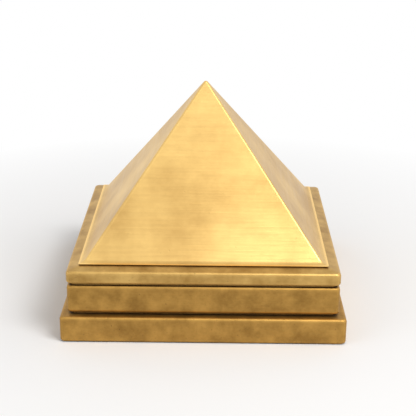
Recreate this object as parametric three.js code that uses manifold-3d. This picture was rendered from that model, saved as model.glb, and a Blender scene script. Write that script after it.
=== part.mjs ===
// Vastu pyramid: three square brass layers that stack and lift apart.
// Millimetres, +Z up, origin at the centre of the underside.
import * as THREE from 'three';
import { mergeVertices } from 'three/addons/utils/BufferGeometryUtils.js';
import Module from 'manifold-3d';

const wasm = await Module();
wasm.setup();

// Base plate
const baseSide = 50.8;
const baseHeight = 4.83;
const baseFloor = 2.8;

// Middle tray
const traySide = 48.2;
const trayHeight = 5.1;
const trayWall = 3.1;
const trayHollowDepth = 2.9;

// Cap frame
const frameSide = 48.3;
const frameEdgeHeight = 2.35;
const frameRise = 0.35;
const frameOpeningSide = 38.8;

// Pyramid shell
const pyramidFootSide = 44.2;
const faceFootSide = 42.9;
const faceSlope = 1.333;
const shellWall = 1.6;
const footRiser = 0.28;
const footUndercut = 0.2;
const flareHeight = 0.52;
const flareStart = 0.08;
const tipRadius = 0.5;
const ridgeRadius = 0.35;

// Grid of small pyramids in the base
const gridCount = 9;
const gridPlateThickness = 0.8;
const gridPyramidHeight = 2.6;

// Nine inner pyramids on the tray
const innerCount = 3;
const innerPitch = 12;
const innerSide = 11.4;
const innerSkirt = 0.6;
const innerSeatDepth = 0.5;
const innerTipHalf = 0.2;

// Fits shared by the layers
const layerGap = 0.38;
const seatInset = 0.8;
const rimHeight = 1;
const rimWall = 0.8;
const clearance = 0.3;
const cornerRadius = 0.8;
const innerCornerRadius = 0.6;
const edgeRadius = 0.5;

// Fineness of the round edges
const cornerSteps = 4;
const edgeSteps = 3;
const flareSteps = 4;

// Heights worked out from the sizes above
const traySeatZ = baseHeight + layerGap;
const trayTopZ = traySeatZ + trayHeight;
const frameSeatZ = trayTopZ + layerGap;
const frameEdgeZ = frameSeatZ + frameEdgeHeight;
const shellFootZ = frameEdgeZ + frameRise;
const sharpApexZ = shellFootZ + faceSlope * faceFootSide / 2;

// Points of one rounded square, anticlockwise seen from above
function squarePoints(half, z, radius) {
  const r = Math.min(radius, half * 0.9);
  const points = [];
  for (let corner = 0; corner < 4; corner++) {
    const middle = Math.PI / 4 + corner * Math.PI / 2;
    const cx = Math.sign(Math.cos(middle)) * (half - r);
    const cy = Math.sign(Math.sin(middle)) * (half - r);
    for (let step = 0; step <= cornerSteps; step++) {
      const angle = corner * Math.PI / 2 + step / cornerSteps * Math.PI / 2;
      points.push([cx + r * Math.cos(angle), cy + r * Math.sin(angle), z]);
    }
  }
  return points;
}

// A solid swept round a square along a profile of [half width, height, corner radius].
// The profile runs with the material on its left. A capped one has a flat face at both
// ends, and the other kind closes on itself.
function squareSweep(profile, capped) {
  const rings = profile.map(([half, z, radius]) => squarePoints(half, z, radius));
  const count = rings[0].length;
  const positions = rings.flat(2);
  const index = [];
  const last = capped ? rings.length - 1 : rings.length;
  for (let i = 0; i < last; i++) {
    const a = i * count;
    const b = ((i + 1) % rings.length) * count;
    for (let j = 0; j < count; j++) {
      const k = (j + 1) % count;
      index.push(a + j, a + k, b + k, a + j, b + k, b + j);
    }
  }
  if (capped) {
    const top = (rings.length - 1) * count;
    const centre = positions.length / 3;
    positions.push(0, 0, profile[0][1], 0, 0, profile[profile.length - 1][1]);
    for (let j = 0; j < count; j++) {
      const k = (j + 1) % count;
      index.push(centre, k, j, centre + 1, top + j, top + k);
    }
  }
  return meshGeometry(positions, index);
}

function meshGeometry(positions, index) {
  const geometry = new THREE.BufferGeometry();
  geometry.setAttribute('position', new THREE.Float32BufferAttribute(positions, 3));
  geometry.setIndex(index);
  return geometry;
}

// A quarter round from one direction to the next, as profile points
function edgeArc(half, z, radius, corner, fromAngle) {
  const points = [];
  for (let step = 0; step <= edgeSteps; step++) {
    const angle = fromAngle + step / edgeSteps * Math.PI / 2;
    const out = half - radius + radius * Math.cos(angle);
    points.push([out, z + radius * Math.sin(angle), corner]);
  }
  return points;
}

function lowerEdge(half, z) {
  return edgeArc(half, z + edgeRadius, edgeRadius, cornerRadius, -Math.PI / 2);
}

function upperEdge(half, z) {
  return edgeArc(half, z - edgeRadius, edgeRadius, cornerRadius, 0);
}

// Joining and cutting
function toSolid(geometry) {
  const plain = geometry.clone();
  plain.deleteAttribute('normal');
  plain.deleteAttribute('uv');
  const merged = mergeVertices(plain);
  const vertProperties = new Float32Array(merged.attributes.position.array);
  const triVerts = new Uint32Array(merged.index.array);
  return new wasm.Manifold(new wasm.Mesh({ numProp: 3, vertProperties, triVerts }));
}

function toGeometry(solid) {
  const mesh = solid.getMesh();
  return meshGeometry(Array.from(mesh.vertProperties), Array.from(mesh.triVerts));
}

// The base: a plate with a raised seat and rim for the tray, and a pocket
const seatHalf = traySide / 2 - seatInset;
const trayHollowHalf = traySide / 2 - trayWall;
const baseRimHalf = trayHollowHalf - clearance;
const basePocketHalf = baseRimHalf - rimWall;
function basePlate() {
  const half = baseSide / 2;
  return squareSweep([
    ...lowerEdge(half, 0),
    ...upperEdge(half, baseHeight),
    [seatHalf, baseHeight, innerCornerRadius],
    [seatHalf, traySeatZ, innerCornerRadius],
    [baseRimHalf, traySeatZ, innerCornerRadius],
    [baseRimHalf, traySeatZ + rimHeight, innerCornerRadius],
    [basePocketHalf, traySeatZ + rimHeight, innerCornerRadius],
    [basePocketHalf, baseFloor, innerCornerRadius],
  ], true);
}

// One pressed plate with a square pyramid in each cell of a grid
function pyramidGridPlate() {
  const half = basePocketHalf - clearance;
  const pitch = 2 * half / gridCount;
  const valleyZ = baseFloor + gridPlateThickness;
  const positions = [];
  const index = [];
  const add = (x, y, z) => positions.push(x, y, z) / 3 - 1;
  const corner = [];
  for (let row = 0; row <= gridCount; row++) {
    corner.push([]);
    for (let column = 0; column <= gridCount; column++) {
      corner[row].push(add(column * pitch - half, row * pitch - half, valleyZ));
    }
  }
  for (let row = 0; row < gridCount; row++) {
    for (let column = 0; column < gridCount; column++) {
      const x = (column + 0.5) * pitch - half;
      const y = (row + 0.5) * pitch - half;
      const tip = add(x, y, valleyZ + gridPyramidHeight);
      const a = corner[row][column];
      const b = corner[row][column + 1];
      const c = corner[row + 1][column + 1];
      const d = corner[row + 1][column];
      index.push(a, b, tip, b, c, tip, c, d, tip, d, a, tip);
    }
  }
  const border = [];
  for (let i = 0; i < gridCount; i++) border.push(corner[0][i]);
  for (let i = 0; i < gridCount; i++) border.push(corner[i][gridCount]);
  for (let i = gridCount; i > 0; i--) border.push(corner[gridCount][i]);
  for (let i = gridCount; i > 0; i--) border.push(corner[i][0]);
  const lower = border.map((v) => add(positions[3 * v], positions[3 * v + 1], baseFloor));
  const centre = add(0, 0, baseFloor);
  for (let i = 0; i < border.length; i++) {
    const k = (i + 1) % border.length;
    index.push(lower[i], lower[k], border[k], lower[i], border[k], border[i]);
    index.push(centre, lower[k], lower[i]);
  }
  return meshGeometry(positions, index);
}

// The tray: hollow underneath, with a seat, a rim and nine shallow seats on top
const trayRimHalf = frameOpeningSide / 2 - clearance;
const innerSeatZ = frameSeatZ - innerSeatDepth;
const innerPlaces = [];
for (let row = 0; row < innerCount; row++) {
  for (let column = 0; column < innerCount; column++) {
    const shift = (innerCount - 1) / 2;
    innerPlaces.push([(column - shift) * innerPitch, (row - shift) * innerPitch]);
  }
}

function middleTray() {
  const half = traySide / 2;
  const ceiling = traySeatZ + trayHollowDepth;
  const seatTop = frameSide / 2 - seatInset;
  const blank = squareSweep([
    [trayHollowHalf, ceiling, innerCornerRadius],
    [trayHollowHalf, traySeatZ, innerCornerRadius],
    ...lowerEdge(half, traySeatZ),
    ...upperEdge(half, trayTopZ),
    [seatTop, trayTopZ, innerCornerRadius],
    [seatTop, frameSeatZ, innerCornerRadius],
    [trayRimHalf, frameSeatZ, innerCornerRadius],
    [trayRimHalf, frameSeatZ + rimHeight, innerCornerRadius],
    [trayRimHalf - rimWall, frameSeatZ + rimHeight, innerCornerRadius],
    [trayRimHalf - rimWall, frameSeatZ, innerCornerRadius],
  ], true);
  let solid = toSolid(blank);
  const seatSide = innerSide + clearance;
  const tall = 2 * innerSeatDepth;
  for (const [x, y] of innerPlaces) {
    const seat = new THREE.BoxGeometry(seatSide, seatSide, tall);
    seat.translate(x, y, innerSeatZ + tall / 2);
    solid = solid.subtract(toSolid(seat));
  }
  return toGeometry(solid);
}

// One small solid pyramid, its foot at height zero
function innerPyramid() {
  const half = innerSide / 2;
  const rise = (half - innerTipHalf) * faceSlope;
  return squareSweep([
    [half, 0, ridgeRadius],
    [half, innerSkirt, ridgeRadius],
    [innerTipHalf, innerSkirt + rise, ridgeRadius],
  ], true);
}

// The frame: a square ring whose top slopes up to the foot of the shell
function capFrame() {
  const half = frameSide / 2;
  const opening = frameOpeningSide / 2;
  return squareSweep([
    [opening, frameSeatZ, innerCornerRadius],
    ...lowerEdge(half, frameSeatZ),
    ...upperEdge(half, frameEdgeZ),
    [pyramidFootSide / 2, shellFootZ, innerCornerRadius],
    [opening, shellFootZ, innerCornerRadius],
  ], false);
}

// Half width of a face plane at a height, drawn in by an inset
function faceHalf(z, inset) {
  return (sharpApexZ - z) / faceSlope - inset;
}

function flareProfile() {
  const foot = [pyramidFootSide / 2, shellFootZ + footRiser];
  const bendZ = foot[1] + flareStart;
  const bend = [faceHalf(bendZ, 0), bendZ];
  const endZ = foot[1] + flareHeight;
  const end = [faceHalf(endZ, 0), endZ];
  const points = [];
  for (let step = 0; step <= flareSteps; step++) {
    const t = step / flareSteps;
    const blend = (i) => (1 - t) ** 2 * foot[i] + 2 * t * (1 - t) * bend[i] + t * t * end[i];
    points.push([blend(0), blend(1), ridgeRadius]);
  }
  return points;
}

function tipProfile() {
  const faceAngle = Math.atan(faceSlope);
  const centreZ = sharpApexZ - tipRadius / Math.cos(faceAngle);
  const points = [];
  for (let step = 0; step <= edgeSteps; step++) {
    const lean = faceAngle * (1 - step / (edgeSteps + 1));
    const out = tipRadius * Math.sin(lean);
    points.push([out, centreZ + tipRadius * Math.cos(lean), ridgeRadius]);
  }
  return points;
}

// The shell: a hollow pyramid, open below
function pyramidShell() {
  const inset = shellWall / Math.sin(Math.atan(faceSlope));
  const innerTipZ = sharpApexZ - (inset + innerTipHalf) * faceSlope;
  return squareSweep([
    [innerTipHalf, innerTipZ, ridgeRadius],
    [faceHalf(shellFootZ, inset), shellFootZ, ridgeRadius],
    [pyramidFootSide / 2 - footUndercut, shellFootZ, ridgeRadius],
    ...flareProfile(),
    ...tipProfile(),
  ], true);
}

// Brass as the photo shows it: polished on the pyramid, duller on the layers
function brass(color, roughness) {
  return new THREE.MeshStandardMaterial({ color, roughness, metalness: 1 });
}

const pyramid = new THREE.Group();
function addPiece(name, geometry, color, roughness, x = 0, y = 0, z = 0) {
  const piece = new THREE.Mesh(geometry, brass(color, roughness));
  piece.name = name;
  piece.position.set(x, y, z);
  pyramid.add(piece);
}

addPiece('base_plate', basePlate(), 0xa57f36, 0.5);
addPiece('pyramid_grid_plate', pyramidGridPlate(), 0xc49a48, 0.4);
addPiece('middle_tray', middleTray(), 0xa07b36, 0.5);
innerPlaces.forEach(([x, y], i) => {
  addPiece(`inner_pyramid_${i + 1}`, innerPyramid(), 0xd4ad55, 0.35, x, y, innerSeatZ);
});
addPiece('cap_frame', capFrame(), 0xb88f4a, 0.45);
addPiece('pyramid_shell', pyramidShell(), 0xd4ad55, 0.3);

export default pyramid;
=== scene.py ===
# The look of a brass vastu pyramid: brushed on the pyramid, aged on the layers.
import math

import bpy
from mathutils import Euler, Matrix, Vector


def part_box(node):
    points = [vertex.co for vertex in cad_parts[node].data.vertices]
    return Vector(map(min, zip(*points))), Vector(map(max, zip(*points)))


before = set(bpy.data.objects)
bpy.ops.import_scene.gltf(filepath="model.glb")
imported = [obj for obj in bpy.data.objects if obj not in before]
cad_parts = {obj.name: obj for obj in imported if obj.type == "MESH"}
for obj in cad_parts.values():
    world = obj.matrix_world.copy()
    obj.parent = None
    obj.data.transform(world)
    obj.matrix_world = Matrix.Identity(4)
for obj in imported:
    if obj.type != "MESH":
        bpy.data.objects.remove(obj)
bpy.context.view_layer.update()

# Camera, from the photograph's viewing angle. Its distance and aim are shares of the
# cap frame's width.
FRAME_PIXELS = 416
FOCAL_PIXELS = 1065.7
SENSOR_MM = 36.0
ELEVATION = math.radians(20.29)
TURN = math.radians(0.70)
ROLL = math.radians(0.29)
FRAME_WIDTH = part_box("cap_frame")[1][0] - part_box("cap_frame")[0][0]
DISTANCE = 4.306 * FRAME_WIDTH
AIM_HEIGHT = 0.30 * FRAME_WIDTH
SHIFT_RIGHT = 0.0068
SHIFT_UP = 0.0228
NEAR_LIMIT = 0.01

# Floor and room. The floor fades to white between these distances from the object's centre.
FLOOR_SIZE = 3.0
FLOOR_COLOUR = (0.86, 0.85, 0.84, 1)
FLOOR_ROUGHNESS = 0.9
WHITE = (1, 1, 1, 1)
WORLD_STRENGTH = 0.55
FADE_START = 0.035
FADE_END = 0.11

# Lamps: place, side and power
KEY_PLACE = (0.22, -0.20, 0.34)
KEY_SIZE = 0.22
KEY_POWER = 1.3
FILL_PLACE = (-0.30, -0.18, 0.20)
FILL_SIZE = 0.20
FILL_POWER = 0.15

# Brass, clean and tarnished, on each kind of piece
LAYER_BRIGHT = (0.50, 0.29, 0.075, 1)
LAYER_DARK = (0.30, 0.165, 0.04, 1)
FRAME_BRIGHT = (0.62, 0.40, 0.13, 1)
FRAME_DARK = (0.38, 0.22, 0.06, 1)
SHELL_BRIGHT = (0.80, 0.54, 0.19, 1)
SHELL_DARK = (0.55, 0.34, 0.11, 1)
SMALL_BRIGHT = (0.72, 0.46, 0.14, 1)
SMALL_DARK = (0.50, 0.30, 0.08, 1)
# Painted shade for the crevices, also the dark colour of the casting pits
PIT_AND_PAINTED_SHADE_COLOUR = (0.09, 0.06, 0.035, 1)

# Wear that all the brass shares, with the bright edges partly painted highlight
EDGE_WEAR_AND_HIGHLIGHT_BRIGHTENING = 1.25
PIT_DARKENING = 0.6
PIT_ROUGHNESS = 0.3
GRAIN_ROUGHNESS = 0.16
RELIEF_DEPTH = 0.00006


def add_node(tree, kind, **values):
    node = tree.nodes.new(kind)
    for name, value in values.items():
        node.inputs[name.replace("_", " ")].default_value = value
    return node


def new_group(name, inputs, outputs):
    group = bpy.data.node_groups.new(name, "ShaderNodeTree")
    for label, value in inputs:
        socket = group.interface.new_socket(label, in_out="INPUT", socket_type="NodeSocketFloat")
        socket.default_value = value
    for label in outputs:
        group.interface.new_socket(label, in_out="OUTPUT", socket_type="NodeSocketFloat")
    start = group.nodes.new("NodeGroupInput")
    end = group.nodes.new("NodeGroupOutput")
    return group, start, end


def math_node(tree, operation, first, second):
    node = tree.nodes.new("ShaderNodeMath")
    node.operation = operation
    for socket, value in zip(node.inputs, (first, second)):
        if isinstance(value, (int, float)):
            socket.default_value = value
        else:
            tree.links.new(value, socket)
    return node.outputs[0]


def mix_colour(tree, mask, low, high):
    node = tree.nodes.new("ShaderNodeMix")
    node.data_type = "RGBA"
    tree.links.new(mask, node.inputs["Factor"])
    for socket, value in ((node.inputs["A"], low), (node.inputs["B"], high)):
        if isinstance(value, tuple):
            socket.default_value = value
        else:
            tree.links.new(value, socket)
    return node.outputs["Result"]


# One where the camera sees a thing, straight on or in brass or glass, and nought elsewhere
def seen_mask(tree):
    path = tree.nodes.new("ShaderNodeLightPath")
    seen = math_node(tree, "MAXIMUM", path.outputs["Is Camera Ray"], path.outputs["Is Glossy Ray"])
    return math_node(tree, "MAXIMUM", seen, path.outputs["Is Transmission Ray"])


# Fine brushed lines that lie level round each face
def brushed_grain_group():
    group, start, end = new_group(
        "Brushed grain",
        [("Lines Along", 90.0), ("Lines Across", 2600.0)],
        ["Height"])
    links = group.links
    place = group.nodes.new("ShaderNodeTexCoord")
    split = group.nodes.new("ShaderNodeSeparateXYZ")
    links.new(place.outputs["Object"], split.inputs[0])
    join = group.nodes.new("ShaderNodeCombineXYZ")
    for axis, rate in (("X", "Lines Along"), ("Y", "Lines Along"), ("Z", "Lines Across")):
        scaled = math_node(group, "MULTIPLY", split.outputs[axis], start.outputs[rate])
        links.new(scaled, join.inputs[axis])
    noise = add_node(group, "ShaderNodeTexNoise", Scale=1.0, Detail=3.0)
    links.new(join.outputs[0], noise.inputs["Vector"])
    links.new(noise.outputs["Fac"], end.inputs["Height"])
    return group


# Slow blotches of tarnish, and small casting pits
def aged_surface_group():
    group, start, end = new_group(
        "Aged surface",
        [("Blotch Scale", 160.0), ("Pit Scale", 2200.0), ("Pit Start", 0.68)],
        ["Blotches", "Pits"])
    links = group.links
    place = group.nodes.new("ShaderNodeTexCoord")
    blotch = add_node(group, "ShaderNodeTexNoise", Detail=6.0, Roughness=0.62)
    links.new(place.outputs["Object"], blotch.inputs["Vector"])
    links.new(start.outputs["Blotch Scale"], blotch.inputs["Scale"])
    spread = add_node(group, "ShaderNodeMapRange", From_Min=0.35, From_Max=0.65)
    links.new(blotch.outputs["Fac"], spread.inputs["Value"])
    pit = add_node(group, "ShaderNodeTexNoise", Detail=2.0)
    links.new(place.outputs["Object"], pit.inputs["Vector"])
    links.new(start.outputs["Pit Scale"], pit.inputs["Scale"])
    deep = add_node(group, "ShaderNodeMapRange", From_Max=0.80)
    links.new(start.outputs["Pit Start"], deep.inputs["From Min"])
    links.new(pit.outputs["Fac"], deep.inputs["Value"])
    links.new(spread.outputs[0], end.inputs["Blotches"])
    links.new(deep.outputs[0], end.inputs["Pits"])
    return group


# Bright edges from how the surface bends, partly wear and partly painted highlight, and painted
# shade in the crevices
def edge_wear_and_painted_light_group():
    group, start, end = new_group("Edge wear and painted light", [("Radius", 0.0008)], ["Edges", "Painted Crevice Shade"])
    links = group.links
    bevel = group.nodes.new("ShaderNodeBevel")
    bevel.samples = 6
    links.new(start.outputs["Radius"], bevel.inputs["Radius"])
    plain = group.nodes.new("ShaderNodeNewGeometry")
    dot = group.nodes.new("ShaderNodeVectorMath")
    dot.operation = "DOT_PRODUCT"
    links.new(bevel.outputs[0], dot.inputs[0])
    links.new(plain.outputs["Normal"], dot.inputs[1])
    edges = add_node(group, "ShaderNodeMapRange", From_Min=0.995, From_Max=0.90)
    links.new(dot.outputs["Value"], edges.inputs["Value"])
    hollow = add_node(group, "ShaderNodeAmbientOcclusion", Distance=0.0015)
    hollow.samples = 8
    painted_crevice_shade = add_node(group, "ShaderNodeMapRange", From_Min=0.55, From_Max=0.15)
    links.new(hollow.outputs["AO"], painted_crevice_shade.inputs["Value"])
    links.new(edges.outputs[0], end.inputs["Edges"])
    links.new(painted_crevice_shade.outputs[0], end.inputs["Painted Crevice Shade"])
    return group


GRAIN = brushed_grain_group()
AGED = aged_surface_group()
WEAR_AND_PAINTED_LIGHT = edge_wear_and_painted_light_group()


def place_group(tree, group, **values):
    node = tree.nodes.new("ShaderNodeGroup")
    node.node_tree = group
    for name, value in values.items():
        node.inputs[name.replace("_", " ")].default_value = value
    return node


def brass_material(name, bright, dark, roughness, bump, blotch_scale, pit_start):
    material = bpy.data.materials.new(name)
    material.use_nodes = True
    tree = material.node_tree
    links = tree.links
    surface = tree.nodes["Principled BSDF"]
    surface.inputs["Metallic"].default_value = 1.0
    aged = place_group(tree, AGED, Blotch_Scale=blotch_scale, Pit_Start=pit_start)
    wear_and_painted_light = place_group(tree, WEAR_AND_PAINTED_LIGHT)
    grain = place_group(tree, GRAIN)
    worn_and_highlight_colour = tuple(min(1.0, c * EDGE_WEAR_AND_HIGHLIGHT_BRIGHTENING) for c in bright[:3]) + (1,)
    colour = mix_colour(tree, aged.outputs["Blotches"], dark, bright)
    # Bright edges: worn brass and partly painted highlight on the rounded edges
    colour = mix_colour(tree, wear_and_painted_light.outputs["Edges"], colour, worn_and_highlight_colour)
    pits = math_node(tree, "MULTIPLY", aged.outputs["Pits"], PIT_DARKENING)
    colour = mix_colour(tree, pits, colour, PIT_AND_PAINTED_SHADE_COLOUR)
    # Painted shade: crevices found by occlusion turn dark
    colour = mix_colour(tree, wear_and_painted_light.outputs["Painted Crevice Shade"], colour, PIT_AND_PAINTED_SHADE_COLOUR)
    links.new(colour, surface.inputs["Base Color"])
    rough = math_node(tree, "MULTIPLY", grain.outputs["Height"], GRAIN_ROUGHNESS)
    rough = math_node(tree, "ADD", rough, roughness)
    rough = math_node(tree, "ADD", rough, math_node(tree, "MULTIPLY", pits, PIT_ROUGHNESS))
    links.new(rough, surface.inputs["Roughness"])
    height = math_node(tree, "SUBTRACT", grain.outputs["Height"], aged.outputs["Pits"])
    relief = add_node(tree, "ShaderNodeBump", Strength=bump, Distance=RELIEF_DEPTH)
    links.new(height, relief.inputs["Height"])
    links.new(relief.outputs[0], surface.inputs["Normal"])
    return material


def dress_pieces():
    layer = brass_material("aged layer brass", LAYER_BRIGHT, LAYER_DARK,
                           roughness=0.42, bump=0.5, blotch_scale=260, pit_start=0.66)
    rim = brass_material("frame brass", FRAME_BRIGHT, FRAME_DARK,
                         roughness=0.36, bump=0.45, blotch_scale=220, pit_start=0.67)
    shell = brass_material("brushed shell brass", SHELL_BRIGHT, SHELL_DARK,
                           roughness=0.30, bump=0.6, blotch_scale=60, pit_start=0.74)
    small = brass_material("small pyramid brass", SMALL_BRIGHT, SMALL_DARK,
                           roughness=0.32, bump=0.35, blotch_scale=200, pit_start=0.70)
    finishes = {
        "base_plate": layer,
        "middle_tray": layer,
        "cap_frame": rim,
        "pyramid_shell": shell,
    }
    for name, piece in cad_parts.items():
        piece.data.materials.clear()
        piece.data.materials.append(finishes.get(name, small))


# Away from the object the floor turns plain white where it is seen
def fade_to_white(tree, surface):
    links = tree.links
    place = tree.nodes.new("ShaderNodeTexCoord")
    reach = tree.nodes.new("ShaderNodeVectorMath")
    reach.operation = "LENGTH"
    links.new(place.outputs["Object"], reach.inputs[0])
    far = add_node(tree, "ShaderNodeMapRange", From_Min=FADE_START, From_Max=FADE_END)
    links.new(reach.outputs["Value"], far.inputs["Value"])
    white = add_node(tree, "ShaderNodeEmission", Color=WHITE, Strength=1.0)
    mix = tree.nodes.new("ShaderNodeMixShader")
    links.new(math_node(tree, "MULTIPLY", far.outputs[0], seen_mask(tree)), mix.inputs[0])
    links.new(surface.outputs[0], mix.inputs[1])
    links.new(white.outputs[0], mix.inputs[2])
    links.new(mix.outputs[0], tree.nodes["Material Output"].inputs["Surface"])


def add_floor():
    mesh = bpy.data.meshes.new("floor")
    half = FLOOR_SIZE / 2
    corners = [(-half, -half, 0), (half, -half, 0), (half, half, 0), (-half, half, 0)]
    mesh.from_pydata(corners, [], [(0, 1, 2, 3)])
    floor = bpy.data.objects.new("floor", mesh)
    bpy.context.scene.collection.objects.link(floor)
    material = bpy.data.materials.new("pale floor")
    material.use_nodes = True
    surface = material.node_tree.nodes["Principled BSDF"]
    surface.inputs["Base Color"].default_value = FLOOR_COLOUR
    surface.inputs["Roughness"].default_value = FLOOR_ROUGHNESS
    fade_to_white(material.node_tree, surface)
    mesh.materials.append(material)


# The room shows white, and lights the object less than it shows
def add_world():
    world = bpy.data.worlds.new("white room")
    bpy.context.scene.world = world
    world.use_nodes = True
    tree = world.node_tree
    seen = seen_mask(tree)
    rest = math_node(tree, "MULTIPLY", math_node(tree, "SUBTRACT", 1.0, seen), WORLD_STRENGTH)
    back = tree.nodes["Background"]
    back.inputs["Color"].default_value = WHITE
    tree.links.new(math_node(tree, "ADD", seen, rest), back.inputs["Strength"])


def add_lamp(name, place, size, power):
    data = bpy.data.lights.new(name, "AREA")
    data.size = size
    data.energy = power
    lamp = bpy.data.objects.new(name, data)
    lamp.location = place
    lamp.rotation_euler = (-Vector(place)).to_track_quat("-Z", "Y").to_euler()
    bpy.context.scene.collection.objects.link(lamp)


def add_camera():
    data = bpy.data.cameras.new("camera")
    data.sensor_width = SENSOR_MM
    data.lens = FOCAL_PIXELS / FRAME_PIXELS * SENSOR_MM
    data.shift_x = SHIFT_RIGHT
    data.shift_y = SHIFT_UP
    data.clip_start = NEAR_LIMIT
    camera = bpy.data.objects.new("camera", data)
    aim = Vector((0, 0, AIM_HEIGHT))
    back = Vector((math.sin(TURN), -math.cos(TURN), 0)) * math.cos(ELEVATION)
    camera.location = aim + DISTANCE * (back + Vector((0, 0, math.sin(ELEVATION))))
    look = (aim - camera.location).to_track_quat("-Z", "Y")
    camera.rotation_euler = (look @ Euler((0, 0, ROLL)).to_quaternion()).to_euler()
    bpy.context.scene.collection.objects.link(camera)
    bpy.context.scene.camera = camera


dress_pieces()
add_floor()
add_world()
add_lamp("soft key", KEY_PLACE, KEY_SIZE, KEY_POWER)
add_lamp("soft fill", FILL_PLACE, FILL_SIZE, FILL_POWER)
add_camera()
bpy.context.scene.view_settings.view_transform = "Standard"
